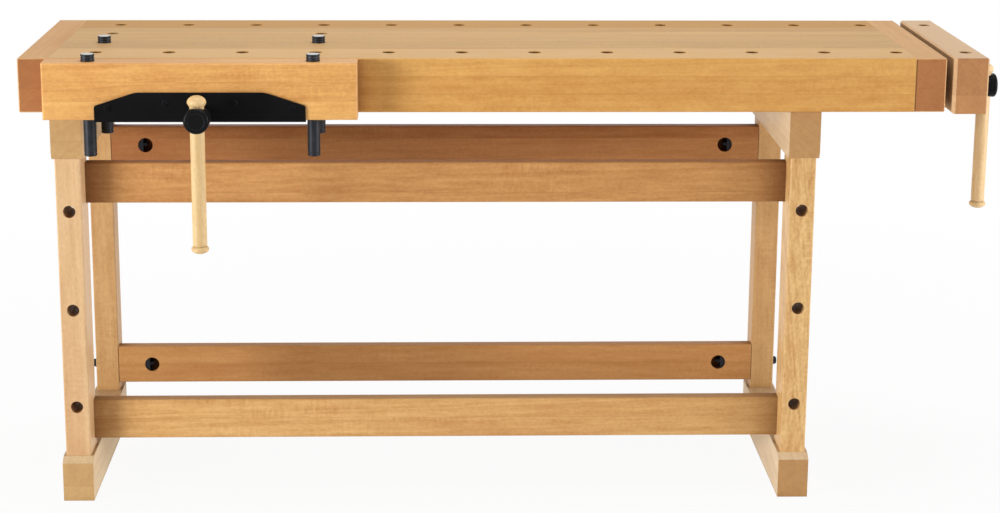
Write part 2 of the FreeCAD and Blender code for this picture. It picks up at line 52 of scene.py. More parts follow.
def paint(hex_colour):
    """An sRGB hex colour as linear RGBA."""
    channels = [int(hex_colour[i:i + 2], 16) / 255 for i in (0, 2, 4)]
    linear = [c / 12.92 if c <= 0.04045 else ((c + 0.055) / 1.055) ** 2.4 for c in channels]
    return (*linear, 1.0)


def per(size_mm):
    """Texture scale at which a pattern repeats about every size_mm."""
    return 1 / (size_mm * MM)


def add(tree, kind, sockets=(), **settings):
    """Add one node. A socket's value may be a number, a colour or the output that feeds it."""
    made = tree.nodes.new("ShaderNode" + kind)
    for name, value in settings.items():
        setattr(made, name, value)
    for key, value in dict(sockets).items():
        if isinstance(value, bpy.types.NodeSocket):
            tree.links.new(value, made.inputs[key])
        else:
            made.inputs[key].default_value = value
    return made


# Places of the sockets of a colour Mix node, which share their names with its other sockets
FACTOR, FIRST, SECOND, MIXED = 0, 6, 7, 2


def new_finish(name, roughness, metallic=0.0):
    material = bpy.data.materials.new(name)
    material.use_nodes = True
    tree = material.node_tree
    surface = tree.nodes["Principled BSDF"]
    surface.inputs["Roughness"].default_value = roughness
    surface.inputs["Metallic"].default_value = metallic
    return material, tree, surface


def rounded_edges(tree, radius_mm):
    """Normal that rounds a sharp edge off, and how near a spot is to such an edge, 0 to 1."""
    soft = add(tree, "Bevel", {"Radius": radius_mm * MM}, samples=6)
    flat = add(tree, "NewGeometry")
    same = add(tree, "VectorMath", {0: soft.outputs["Normal"], 1: flat.outputs["Normal"]},
               operation="DOT_PRODUCT")
    near = add(tree, "MapRange", {"Value": same.outputs["Value"], "From Min": 0.995, "From Max": 0.9})
    return soft.outputs["Normal"], near.outputs["Result"]


def upward_share(tree, place, most):
    """most on faces that look up, 0 elsewhere."""
    upright = add(tree, "SeparateXYZ", {0: place.outputs["Normal"]}).outputs["Z"]
    return add(tree, "MapRange", {"Value": upright, "From Min": 0.9, "From Max": 0.98,
                                  "To Max": most}).outputs["Result"]


# ---------------------------------------------------------------- beech

# Tones that all the beech has in common
FLECK_TONE = "8A5429"
GLUE_TONE = "7A4722"
OILED_JOINT_TONE = "5E371C"
END_SHADE_TONE = "5A2C18"
DIRT_AND_SHADE_TONE = "4A2C17"
# How far the painted shade reaches along a stretcher from a post
END_SHADE_REACH = 90 * MM


def along_grain(tree, spot, grain, long_mm, wide_mm):
    """Texture place at which a pattern comes out long_mm along the grain and wide_mm across it."""
    scale = [per(wide_mm)] * 3
    scale[AXES[grain]] = per(long_mm)
    return add(tree, "VectorMath", {0: spot, 1: scale}, operation="MULTIPLY").outputs["Vector"]


def streaks(tree, spot, grain, long_mm, wide_mm, **settings):
    """Noise drawn out along the grain, 0.5 on average."""
    stretched = along_grain(tree, spot, grain, long_mm, wide_mm)
    return add(tree, "TexNoise", {"Vector": stretched, "Scale": 1.0, **settings}).outputs[0]


def glued_boards(tree, spot, own, axis, width_mm, start):
    """The lot that a spot's board drew, and the glue lines between the boards, 0 to 1."""
    across = add(tree, "SeparateXYZ", {0: spot}).outputs[AXES[axis]]
    from_start = add(tree, "Math", {0: across, 1: -start}, operation="ADD").outputs[0]
    in_boards = add(tree, "Math", {0: from_start, 1: per(width_mm)}, operation="MULTIPLY").outputs[0]
    board = add(tree, "Math", {0: in_boards}, operation="FLOOR").outputs[0]
    board_of_piece = add(tree, "CombineXYZ", {0: board, 1: own}).outputs[0]
    lot = add(tree, "TexWhiteNoise", {"Vector": board_of_piece}, noise_dimensions="2D")
    # The glue line is about 0.2 mm wide; it is drawn 1 mm wide so that it shows
    half_board = add(tree, "Math", {0: in_boards, 1: 0.5}, operation="PINGPONG").outputs[0]
    glue = add(tree, "MapRange", {"Value": half_board, "From Min": 0.5 / width_mm,
                                  "From Max": 1.0 / width_mm, "To Min": 1.0, "To Max": 0.0})
    return lot, glue.outputs["Result"]


def growth_rings(tree, spot, moved, own, grain, ring_mm, pith, lean):
    """Rings about a pith that lies outside the board and leans a little to it; 0.5 on average."""
    sway = add(tree, "TexNoise", {"Vector": along_grain(tree, moved, grain, 420, 120), "Scale": 1.0,
                                  "Detail": 2.0})
    bent = add(tree, "VectorMath", {0: sway.outputs["Color"], 1: [30 * MM] * 3, 2: spot},
               operation="MULTIPLY_ADD").outputs["Vector"]
    from_pith = add(tree, "Mapping", {"Vector": bent, "Location": pith, "Rotation": lean}).outputs["Vector"]
    side_on = [1.0, 1.0, 1.0]
    side_on[AXES[grain]] = 0.0
    ray = add(tree, "VectorMath", {0: from_pith, 1: side_on}, operation="MULTIPLY").outputs["Vector"]
    age = add(tree, "VectorMath", {0: ray}, operation="LENGTH").outputs["Value"]
    ring_place = add(tree, "Math", {0: age, 1: per(ring_mm), 2: own}, operation="MULTIPLY_ADD").outputs[0]
    return add(tree, "TexNoise", {"W": ring_place, "Scale": 1.0, "Detail": 2.0, "Roughness": 0.6},
               noise_dimensions="1D").outputs[0]


def ray_flecks(tree, moved, grain):
    """Short brown flecks along the grain, 0 to 1."""
    # They are about 2 x 0.5 mm; they are drawn several times that so that they show
    cells = add(tree, "TexVoronoi", {"Vector": along_grain(tree, moved, grain, 6.5, 2.4), "Scale": 1.0})
    return add(tree, "MapRange", {"Value": cells.outputs["Distance"], "From Min": 0.08, "From Max": 0.24,
                                  "To Min": 1.0, "To Max": 0.0}).outputs["Result"]


def with_curl(tree, moved, grain, tone, contrast):
    """Here and there the fibres wave, and the light ripples in short bars across the grain."""
    wavy = add(tree, "MapRange", {"Value": streaks(tree, moved, grain, 260, 60), "From Min": 0.52,
                                  "From Max": 0.66, "To Max": 0.45 * contrast}).outputs["Result"]
    bars = add(tree, "Math", {0: streaks(tree, moved, grain, 6, 24, Detail=2.0), 1: 0.5},
               operation="SUBTRACT").outputs[0]
    return add(tree, "Math", {0: bars, 1: wavy, 2: tone}, operation="MULTIPLY_ADD").outputs[0]


def beyond(tree, spot, axis, one, other):
    """How far a spot lies beyond the stretch between two places, in metres; less than 0 inside it."""
    along = add(tree, "SeparateXYZ", {0: spot}).outputs[AXES[axis]]
    off_middle = add(tree, "Math", {0: along, 1: -(one + other) / 2}, operation="ADD").outputs[0]
    off_middle = add(tree, "Math", {0: off_middle}, operation="ABSOLUTE").outputs[0]
    return add(tree, "Math", {0: off_middle, 1: -abs(other - one) / 2}, operation="ADD").outputs[0]


def heart_and_flecks(tree, moved, grain, face, blush, flecks):
    """Redder heartwood in long clouds, and brown flecks, over the colour of a face."""
    heart = add(tree, "MapRange", {"Value": streaks(tree, moved, grain, 700, 90, Detail=2.0),
                                   "From Min": 0.52, "From Max": 0.78, "To Max": 0.34}).outputs["Result"]
    face = add(tree, "Mix", {FACTOR: heart, FIRST: face, SECOND: paint(blush)},
               data_type="RGBA").outputs[MIXED]
    fleck_share = add(tree, "Math", {0: flecks, 1: 0.13}, operation="MULTIPLY").outputs[0]
    return add(tree, "Mix", {FACTOR: fleck_share, FIRST: face, SECOND: paint(FLECK_TONE)},
               data_type="RGBA").outputs[MIXED]


def end_grain(tree, place, grain, tone, end_pale, end_deep):
    """Colour of end grain, which soaks up more oil than a face, and where it shows, 0 to 1."""
    end_tone = add(tree, "MapRange", {"Value": tone, "To Min": 0.22, "To Max": 0.78}).outputs["Result"]
    end = add(tree, "Mix", {FACTOR: end_tone, FIRST: paint(end_deep), SECOND: paint(end_pale)},
              data_type="RGBA").outputs[MIXED]
    facing = add(tree, "SeparateXYZ", {0: place.outputs["Normal"]}).outputs[AXES[grain]]
    facing = add(tree, "Math", {0: facing}, operation="ABSOLUTE").outputs[0]
    is_end = add(tree, "MapRange", {"Value": facing, "From Min": 0.74, "From Max": 0.86}).outputs["Result"]
    return end, is_end


def painted_shade_at_ends(tree, spot, colour, axis, one, other, most):
    """Painted shade in the corners beside the posts, deepest at two places and beyond them."""
    dust_and_shade = add(tree, "MapRange", {"Value": beyond(tree, spot, axis, one, other), "From Min": -END_SHADE_REACH,
                                  "From Max": 0.0, "To Max": most}, interpolation_type="SMOOTHSTEP")
    return add(tree, "Mix", {FACTOR: dust_and_shade.outputs["Result"], FIRST: colour, SECOND: paint(END_SHADE_TONE)},
               data_type="RGBA").outputs[MIXED]


def oiled_joints(tree, spot, colour, is_end, axis, one, other):
    """Dark lines where end grain is glued up against the boards at two places."""
    # Oil and glue darken about 1 mm of it; it is drawn 3 mm wide so that it shows
    joint = add(tree, "MapRange", {"Value": beyond(tree, spot, axis, one, other), "From Min": 1.6 * MM,
                                   "From Max": 3.4 * MM, "To Min": 0.75, "To Max": 0.0}).outputs["Result"]
    joint = add(tree, "Math", {0: joint, 1: is_end}, operation="MULTIPLY").outputs[0]
    return add(tree, "Mix", {FACTOR: joint, FIRST: colour, SECOND: paint(OILED_JOINT_TONE)},
               data_type="RGBA").outputs[MIXED]


def grime_and_painted_shade_in_corners(tree, reach_mm, open_share):
    """Painted shade, with some dirt and old oil, on the walls of bores and in the corners where pieces meet,
    0 to 1.
    """
    open_air = add(tree, "AmbientOcclusion", {"Distance": reach_mm * MM}, samples=6).outputs["AO"]
    return add(tree, "MapRange", {"Value": open_air, "From Min": 0.10, "From Max": open_share,
                                  "To Min": 0.85, "To Max": 0.0}).outputs["Result"]


def beech(name, grain, pale, deep, end_pale, end_deep, boards=None, board_contrast=0.22,
          ring_mm=9.0, pith=(0.11, 0.09, 0.13), lean=(0.022, 0.030, 0.026), roughness=0.44, sheen=0.35,
          blush="B9713C", contrast=1.3, figure_mm=(75, 22), corner_mm=26, corner_open=0.55, butted=None,
          top_painted_sheen=None, painted_shade_ends=None):
    """Beech, planed, sanded and oiled.

    To the eye: warm and even, with long soft growth lines, short brown flecks along the grain,
    darker end grain with arcs, boards that differ a little in tone, and a low satin sheen.
    grain is the axis along which the fibres run; pale and deep are the tones of its faces, end_pale
    and end_deep those of its end grain.
    boards is (axis, width in mm, where the first one starts) of the boards it is glued from.
    butted is (axis, one place, other place) where its end grain is glued up against a board.
    top_painted_sheen is a greyer colour painted on its upward faces for the sheen they show: a painted
    sheen.
    painted_shade_ends is (axis, one place, other place, share) of its ends, where painted shade lies beside
    the posts.
    corner_mm and corner_open say how far from a corner, and up to which open share, grime and painted shade
    lie.
    """
    material, tree, surface = new_finish(name, roughness)
    surface.inputs["Specular IOR Level"].default_value = sheen
    place = add(tree, "TexCoord")
    spot = place.outputs["Object"]
    own = add(tree, "ObjectInfo").outputs["Random"]

    # Every piece is cut from another place in the tree, and so is every board in it
    lot = add(tree, "TexWhiteNoise", {"W": own}, noise_dimensions="1D")
    moved = add(tree, "VectorMath", {0: lot.outputs["Color"], 1: (1.7, 1.3, 1.1), 2: spot},
                operation="MULTIPLY_ADD").outputs["Vector"]
    if boards:
        board_lot, glue = glued_boards(tree, spot, own, *boards)
        moved = add(tree, "VectorMath", {0: board_lot.outputs["Color"], 1: (0.9, 0.9, 0.9), 2: moved},
                    operation="MULTIPLY_ADD").outputs["Vector"]

    rings = growth_rings(tree, spot, moved, own, grain, ring_mm, pith, lean)
    growth = streaks(tree, moved, grain, 520, 14, Detail=3.0)
    clouds = streaks(tree, moved, grain, *figure_mm, Detail=3.0, Roughness=0.6)
    # Speckle is about 2 x 1 mm; it is drawn several times that so that it shows
    speckle = streaks(tree, moved, grain, 9, 5, Detail=3.0, Roughness=0.7)
    fibres = streaks(tree, moved, grain, 60, 1.6, Detail=2.0)
    flecks = ray_flecks(tree, moved, grain)

    # Each pattern is 0.5 on average, and so is their sum
    mix = ((rings, 0.28), (growth, 0.32), (clouds, 0.60), (speckle, 0.50), (fibres, 0.10))
    tone = 0.5 - contrast * sum(share for pattern, share in mix) / 2
    for pattern, share in mix:
        tone = add(tree, "Math", {0: pattern, 1: share * contrast, 2: tone},
                   operation="MULTIPLY_ADD").outputs[0]
    tone = with_curl(tree, moved, grain, tone, contrast)
    if boards:
        lifted = add(tree, "Math", {0: board_lot.outputs["Value"], 1: 0.5}, operation="SUBTRACT").outputs[0]
        tone = add(tree, "Math", {0: lifted, 1: board_contrast * 2, 2: tone},
                   operation="MULTIPLY_ADD").outputs[0]
    tone = add(tree, "Math", {0: tone, 1: 1.0}, operation="MULTIPLY", use_clamp=True).outputs[0]
    face = add(tree, "Mix", {FACTOR: tone, FIRST: paint(deep), SECOND: paint(pale)},
               data_type="RGBA").outputs[MIXED]

    face = heart_and_flecks(tree, moved, grain, face, blush, flecks)
    end, is_end = end_grain(tree, place, grain, tone, end_pale, end_deep)
    colour = add(tree, "Mix", {FACTOR: is_end, FIRST: face, SECOND: end}, data_type="RGBA").outputs[MIXED]
    if boards:
        glue_share = add(tree, "Math", {0: glue, 1: 0.14}, operation="MULTIPLY").outputs[0]
        colour = add(tree, "Mix", {FACTOR: glue_share, FIRST: colour, SECOND: paint(GLUE_TONE)},
                     data_type="RGBA").outputs[MIXED]
    # Upward faces take a greyer tone: a painted sheen
    if top_painted_sheen:
        colour = add(tree, "Mix", {FACTOR: upward_share(tree, place, 0.6), FIRST: colour,
                                   SECOND: paint(top_painted_sheen)}, data_type="RGBA").outputs[MIXED]
    # Painted shade on the ends beside the posts
    if painted_shade_ends:
        colour = painted_shade_at_ends(tree, spot, colour, *painted_shade_ends)
    if butted:
        colour = oiled_joints(tree, spot, colour, is_end, *butted)

    # Hands and cloths polish the edges paler, and this paler edge is also a painted highlight
    soft, edge = rounded_edges(tree, 1.6)
    edge_polish_and_highlight = add(tree, "Math", {0: edge, 1: 0.15}, operation="MULTIPLY").outputs[0]
    colour = add(tree, "Mix", {FACTOR: edge_polish_and_highlight, FIRST: colour, SECOND: paint(pale)},
                 data_type="RGBA").outputs[MIXED]

    # Painted shade and grime darken the wood in bores and corners, and the grime dulls it
    grime_and_shade = grime_and_painted_shade_in_corners(tree, corner_mm, corner_open)
    colour = add(tree, "Mix", {FACTOR: grime_and_shade, FIRST: colour, SECOND: paint(DIRT_AND_SHADE_TONE)},
                 data_type="RGBA").outputs[MIXED]
    tree.links.new(colour, surface.inputs["Base Color"])
    rough = add(tree, "MapRange", {"Value": clouds, "From Min": 0.3, "From Max": 0.7,
                                   "To Min": roughness - 0.05, "To Max": roughness + 0.07}).outputs["Result"]
    rough = add(tree, "Math", {0: grime_and_shade, 1: 0.6, 2: rough}, operation="MULTIPLY_ADD",
                use_clamp=True).outputs[0]
    tree.links.new(rough, surface.inputs["Roughness"])

    pores = add(tree, "Math", {0: flecks, 1: -0.6, 2: fibres}, operation="MULTIPLY_ADD").outputs[0]
    relief = add(tree, "Bump", {"Height": pores, "Normal": soft, "Strength": 0.5, "Distance": 0.08 * MM})
    tree.links.new(relief.outputs["Normal"], surface.inputs["Normal"])
    return material


# ---------------------------------------------------------------- metals

def powder_coated_steel(name, sheen, dull, edge_mm):
    """Steel with a black powder coat: deep black, a fine orange-peel skin, greyer at its edges."""
    material, tree, surface = new_finish(name, dull)
    surface.inputs["Specular IOR Level"].default_value = sheen
    spot = add(tree, "TexCoord").outputs["Object"]
    # Orange peel is about 1 mm; it is drawn 1.6 mm so that it shows
    peel = add(tree, "TexNoise", {"Vector": spot, "Scale": per(1.6), "Detail": 2.0}).outputs[0]
    dust_and_shade = add(tree, "TexNoise", {"Vector": spot, "Scale": per(35), "Detail": 4.0}).outputs[0]
    soft, edge = rounded_edges(tree, edge_mm)
    coat = add(tree, "Mix", {FACTOR: dust_and_shade, FIRST: paint("0A0A0B"), SECOND: paint("141416")},
               data_type="RGBA").outputs[MIXED]
    patchy = add(tree, "Math", {0: edge, 1: dust_and_shade}, operation="MULTIPLY").outputs[0]
    wear_and_highlight = add(tree, "Mix", {FACTOR: patchy, FIRST: coat, SECOND: paint("34353A")},
                 data_type="RGBA").outputs[MIXED]
    tree.links.new(wear_and_highlight, surface.inputs["Base Color"])
    rough = add(tree, "MapRange", {"Value": dust_and_shade, "To Min": dull - 0.06, "To Max": dull + 0.12})
    tree.links.new(rough.outputs["Result"], surface.inputs["Roughness"])
    relief = add(tree, "Bump", {"Height": peel, "Normal": soft, "Strength": 0.35, "Distance": 0.06 * MM})
    tree.links.new(relief.outputs["Normal"], surface.inputs["Normal"])
    return material


def blackened_steel():
    """Turned steel blackened in a hot bath: blue-black and satin, with fine tool rings and a painted
    highlight on its flat tops.
    """
    material, tree, surface = new_finish("hot_blackened_steel", 0.42, metallic=1.0)
    place = add(tree, "TexCoord")
    spot = place.outputs["Object"]
    # Tool rings are about 0.3 mm apart; they are drawn 1.5 mm apart so that they show
    height = add(tree, "SeparateXYZ", {0: spot}).outputs["Z"]
    rings = add(tree, "TexNoise", {"W": height, "Scale": per(1.5), "Detail": 2.0},
                noise_dimensions="1D").outputs[0]
    bloom = add(tree, "TexNoise", {"Vector": spot, "Scale": per(14), "Detail": 3.0}).outputs[0]
    soft = rounded_edges(tree, 0.7)[0]
    bath = add(tree, "Mix", {FACTOR: bloom, FIRST: paint("222326"), SECOND: paint("393A3E")},
               data_type="RGBA").outputs[MIXED]
    # A painted highlight makes the flat tops pale grey
    wear_and_highlight = add(tree, "Mix", {FACTOR: upward_share(tree, place, 1.0), FIRST: bath, SECOND: paint("BCBCB8")},
                 data_type="RGBA").outputs[MIXED]
    tree.links.new(wear_and_highlight, surface.inputs["Base Color"])
    rough = add(tree, "MapRange", {"Value": bloom, "To Min": 0.36, "To Max": 0.54}).outputs["Result"]
    tree.links.new(rough, surface.inputs["Roughness"])
    relief = add(tree, "Bump", {"Height": rings, "Normal": soft, "Strength": 0.1, "Distance": 0.05 * MM})
    tree.links.new(relief.outputs["Normal"], surface.inputs["Normal"])
    return material


def plain_metal(name, dark, light, low, high, cloud_mm, groove_mm):
    """Bare or plated metal: low and high are its roughness where it is polished and where it is dull."""
    material, tree, surface = new_finish(name, low, metallic=1.0)
    spot = add(tree, "TexCoord").outputs["Object"]
    cloud = add(tree, "TexNoise", {"Vector": spot, "Scale": per(cloud_mm), "Detail": 4.0}).outputs[0]
    groove = add(tree, "TexNoise", {"Vector": spot, "Scale": per(groove_mm), "Detail": 2.0}).outputs[0]
    soft = rounded_edges(tree, 0.6)[0]
    skin = add(tree, "Mix", {FACTOR: cloud, FIRST: paint(dark), SECOND: paint(light)},
               data_type="RGBA").outputs[MIXED]
    tree.links.new(skin, surface.inputs["Base Color"])
    rough = add(tree, "MapRange", {"Value": cloud, "To Min": low, "To Max": high}).outputs["Result"]
    tree.links.new(rough, surface.inputs["Roughness"])
    relief = add(tree, "Bump", {"Height": groove, "Normal": soft, "Strength": 0.3, "Distance": 0.03 * MM})
    tree.links.new(relief.outputs["Normal"], surface.inputs["Normal"])
    return material


# ---------------------------------------------------------------- the finish of each piece

bench_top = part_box("front_apron")[1].z
apron_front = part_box("front_apron")[0].y
jaw_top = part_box("front_jaw")[1].z
cap_joints = (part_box("left_end_cap")[1].x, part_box("right_end_cap")[0].x)
post_faces = (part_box("left_front_post")[1].x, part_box("right_front_post")[0].x)

# Height of one glue line in the left beams, in most stretchers and in the rear upper stretcher; the
# others lie a board's width apart
BEAM_GLUE_LINE = 32 * MM
STRETCHER_GLUE_LINE = 153 * MM
DARK_STRETCHER_GLUE_LINE = 668.5 * MM

# The wide corner reach on the aprons paints shade beside the front jaw
aprons = dict(grain="X", end_pale="C58048", end_deep="96562C", boards=("Z", 36, bench_top),
              board_contrast=0.10, corner_mm=60, corner_open=0.8)
apron_beech = beech("oiled_beech_apron", pale="E9B66C", deep="C2843E", sheen=0.15,
                    top_painted_sheen="D2AE75", **aprons)
rear_apron_beech = beech("oiled_beech_rear_apron", pale="EAB870", deep="C48640", sheen=0.08,
                         roughness=0.6, top_painted_sheen="BC986A", **aprons)
panel_beech = beech("oiled_beech_panel", "X", pale="D6B17A", deep="BA9264", end_pale="C98B52",
                    end_deep="9C5E33", sheen=0.12, roughness=0.54, boards=("Y", 42.5, apron_front),
                    board_contrast=0.18)
cap_beech = beech("oiled_beech_cap", "Y", pale="EABE8A", deep="C89864", end_pale="C48854",
                  end_deep="9A5F3B", sheen=0.12, roughness=0.54, boards=("Z", 60, bench_top),
                  board_contrast=0.14, butted=("X", *cap_joints))
jaw_beech = beech("oiled_beech_front_jaw", "X", pale="F0BA6E", deep="C88642", end_pale="CF9458",
                  end_deep="A3683A", boards=("Z", 37.3, jaw_top), board_contrast=0.16, contrast=1.6)
end_jaw_beech = beech("oiled_beech_end_jaw", "Y", pale="EAC496", deep="C89C70", end_pale="D69E68",
                      end_deep="9A6442", sheen=0.12, roughness=0.54, top_painted_sheen="DFC2A0",
                      boards=("Z", 74, bench_top), board_contrast=0.20, ring_mm=7.0)

posts = dict(grain="Z", end_pale="C99A5E", end_deep="A9753F", sheen=0.5)
pale_post_beech = beech("oiled_beech_pale_post", pale="EAC798", deep="C39664", contrast=1.2, **posts)
gold_post_beech = beech("oiled_beech_gold_post", pale="EFC98A", deep="C08848", contrast=2.3,
                        figure_mm=(45, 10), lean=(0.15, 0.10, 0.05), **posts)
# The rear posts take a deeper copy of the post wood: painted shade
shade_painted_rear_post_beech = beech("oiled_beech_rear_post", pale="DDB278", deep="AE7C44", **posts)

beams = dict(grain="Y", ring_mm=7.0, sheen=0.15)
left_beam_beech = beech("oiled_beech_left_beam", pale="F0DBB4", deep="D2AE7C", end_pale="D8B47E",
                        end_deep="AE8454", boards=("Z", 60, BEAM_GLUE_LINE), board_contrast=0.16, **beams)
right_beam_beech = beech("oiled_beech_right_beam", pale="F0DCB8", deep="D4B084", end_pale="D2A66E",
                         end_deep="A2744A", **beams)

# The wide corner reach on the stretchers paints shade towards the posts
stretchers = dict(grain="X", end_pale="A8693F", end_deep="7A4425", sheen=0.15, figure_mm=(90, 13),
                  corner_mm=60, corner_open=0.95)
stretcher_beech = beech("steamed_beech_stretcher", pale="DEAA6C", deep="A86C3A", blush="9C552D",
                        boards=("Z", 60, STRETCHER_GLUE_LINE), board_contrast=0.14,
                        painted_shade_ends=("X", *post_faces, 0.5), **stretchers)
rear_stretcher_beech = beech("steamed_beech_rear_stretcher", pale="D8A66C", deep="B0743E", blush="A65E34",
                             boards=("Z", 60, STRETCHER_GLUE_LINE), board_contrast=0.14, contrast=1.1,
                             **stretchers)
# The rear upper stretcher takes a darker copy of the stretcher wood: painted shade under the top
shade_painted_stretcher_beech = beech("steamed_beech_dark_stretcher", pale="C28A56", deep="8D562D", blush="8A4526",
                             boards=("Z", 60, DARK_STRETCHER_GLUE_LINE), board_contrast=0.26, contrast=1.0,
                             **stretchers)
pale_stretcher_beech = beech("oiled_beech_front_stretcher", pale="F2C788", deep="C28B4E", blush="B0693A",
                             boards=("Z", 60, STRETCHER_GLUE_LINE), board_contrast=0.14,
                             painted_shade_ends=("X", *post_faces, 0.28), **stretchers)
raw_beech = beech("raw_beech_batten", "Y", pale="D9B384", deep="BE925E", end_pale="C79A63",
                  end_deep="A4733F", roughness=0.6)

# Turned on the lathe about its own heart
turned = dict(grain="Z", roughness=0.36, ring_mm=5.0, pith=(0.012, 0.009, 0.0), figure_mm=(60, 8))
turned_beech = beech("turned_beech_handle", pale="EFD39E", deep="CCA268", end_pale="E8C88D",
                     end_deep="C99B5E", blush="D9A766", **turned)
# The end handle takes a paler copy of the handle wood: painted light against the shade it hangs in
light_painted_end_handle_beech = beech("turned_beech_end_handle", pale="FADCAA", deep="DAAE74", end_pale="DDB87C",
                           end_deep="B98A50", blush="C08B50", **turned)

black_coat = powder_coated_steel("matt_black_coated_steel", sheen=0.05, dull=0.5, edge_mm=1.0)
hub_coat = powder_coated_steel("satin_black_coated_steel", sheen=0.08, dull=0.32, edge_mm=2.5)
black_bath = blackened_steel()
# Ground bar: nearly white, mirror-like along fine turning marks
ground_steel = plain_metal("ground_bright_steel", "A9ABAE", "C6C8CA", 0.20, 0.32, cloud_mm=40, groove_mm=0.8)
# Zinc plate: grey with a faint bluish cloud
zinc_plate = plain_metal("zinc_plated_steel", "8C9094", "B2B6BA", 0.30, 0.46, cloud_mm=9, groove_mm=0.8)
# Cast bronze, turned: brown-gold, duller in its clouds
turned_bronze = plain_metal("turned_bronze", "8F6C36", "B9924F", 0.30, 0.45, cloud_mm=12, groove_mm=0.9)

FINISHES = {
    apron_beech: ["front_apron"],
    rear_apron_beech: ["rear_apron"],
    panel_beech: ["front_panel_board", "rear_panel_board"],
    cap_beech: ["left_end_cap", "right_end_cap"],
    jaw_beech: ["front_jaw"],
    end_jaw_beech: ["end_jaw"],
    pale_post_beech: ["left_front_post"],
    gold_post_beech: ["right_front_post"],
    shade_painted_rear_post_beech: ["left_rear_post", "right_rear_post"],
    left_beam_beech: ["left_bearer", "left_foot"],
    right_beam_beech: ["right_bearer", "right_foot"],
    stretcher_beech: ["front_upper_stretcher"],
    rear_stretcher_beech: ["rear_lower_stretcher"],
    shade_painted_stretcher_beech: ["rear_upper_stretcher"],
    pale_stretcher_beech: ["front_lower_stretcher"],
    raw_beech: ["left_batten", "right_batten"],
    turned_beech: ["front_handle_bar", "front_handle_knob"],
    light_painted_end_handle_beech: ["end_handle_bar", "end_handle_knob"],
    black_coat: ["front_jaw_plate", "end_jaw_plate", "front_bracket", "end_bracket"],
    hub_coat: ["front_hub", "end_hub"],
    black_bath: ["left_jaw_dog", "right_jaw_dog", "left_top_dog", "right_top_dog",
                 "stretcher_bolts", "stretcher_nuts"],
    ground_steel: ["front_guide_rods", "end_guide_rods", "front_screw", "end_screw"],
    zinc_plate: ["top_bolts", "front_bracket_screws", "end_bracket_screws",
                 "front_retaining_ring", "end_retaining_ring"],
    turned_bronze: ["front_nut", "end_nut"],
}
for material, names in FINISHES.items():
    for name in names:
        nodes[name].data.materials.clear()
        nodes[name].data.materials.append(material)


# ---------------------------------------------------------------- pieces finer than the construction

# Faces that meet at more than this stay sharp
SHARP_ANGLE = math.radians(32)


def piece(name, mesh, material, body, stands_for):
    """Put a finished bmesh on the bench in place of a node."""
    data = bpy.data.meshes.new(name)
    bmesh.ops.recalc_face_normals(mesh, faces=mesh.faces)
    mesh.to_mesh(data)
    mesh.free()
    data.materials.append(material)
    data.shade_smooth()
    data.set_sharp_from_angle(angle=SHARP_ANGLE)
    made = bpy.data.objects.new(name, data)
    bpy.context.scene.collection.objects.link(made)
    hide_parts(stands_for)
    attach(made, body)
    return made


def turned_to(direction):
    """Turn that takes a form built along Z into a direction."""
    return Vector((0, 0, 1)).rotation_difference(direction).to_matrix().to_4x4()


def circle(radius, z, steps):
    angles = [2 * math.pi * i / steps for i in range(steps)]
    return [(radius * math.cos(angle), radius * math.sin(angle), z) for angle in angles]


THREAD_LEAD = 6 * MM
THREAD_DEPTH = 2.2 * MM
# Shares of the lead at which the crest, the falling flank and the root end
CREST_END, FALL_END, ROOT_END = 0.34, 0.50, 0.84
THREAD_STEPS = 24
JOURNAL_STEPS = 48
# Length of the journal in front of the jaw, in the plate and the hub
JOURNAL_IN_HUB = 25 * MM


def cut_thread(mesh, radius, start, end):
    """Skin of a trapezoidal thread about Z between two heights, closed at both ends."""
    root = radius - THREAD_DEPTH
    profile = ((0.0, radius), (CREST_END, radius), (FALL_END, root), (ROOT_END, root))
    pitch = len(profile)
    turns = math.ceil((end - start) / THREAD_LEAD) + 2
    rows = []
    for turn in range(-1, turns - 1):
        for share, r in profile:
            row = []
            for step, (x, y, z) in enumerate(circle(r, start, THREAD_STEPS)):
                rise = (turn + share + step / THREAD_STEPS) * THREAD_LEAD
                row.append(mesh.verts.new((x, y, z + rise)))
            rows.append(row)
    for i, (a, b) in enumerate(zip(rows, rows[1:])):
        for step in range(THREAD_STEPS - 1):
            mesh.faces.new((a[step], a[step + 1], b[step + 1], b[step]))
        # The last step of a turn meets the first step of the next turn
        if i + 1 + pitch < len(rows):
            mesh.faces.new((a[-1], rows[i + pitch][0], rows[i + 1 + pitch][0], b[-1]))
    for cut, side in ((start, -1), (end, 1)):
        everything = mesh.verts[:] + mesh.edges[:] + mesh.faces[:]
        bmesh.ops.bisect_plane(mesh, geom=everything, plane_co=(0, 0, cut), plane_no=(0, 0, side),
                               clear_outer=True)
    for cut in (start, end):
        rim = [e for e in mesh.edges if e.is_boundary and all(abs(v.co.z - cut) < 1e-6 for v in e.verts)]
        bmesh.ops.holes_fill(mesh, edges=rim)


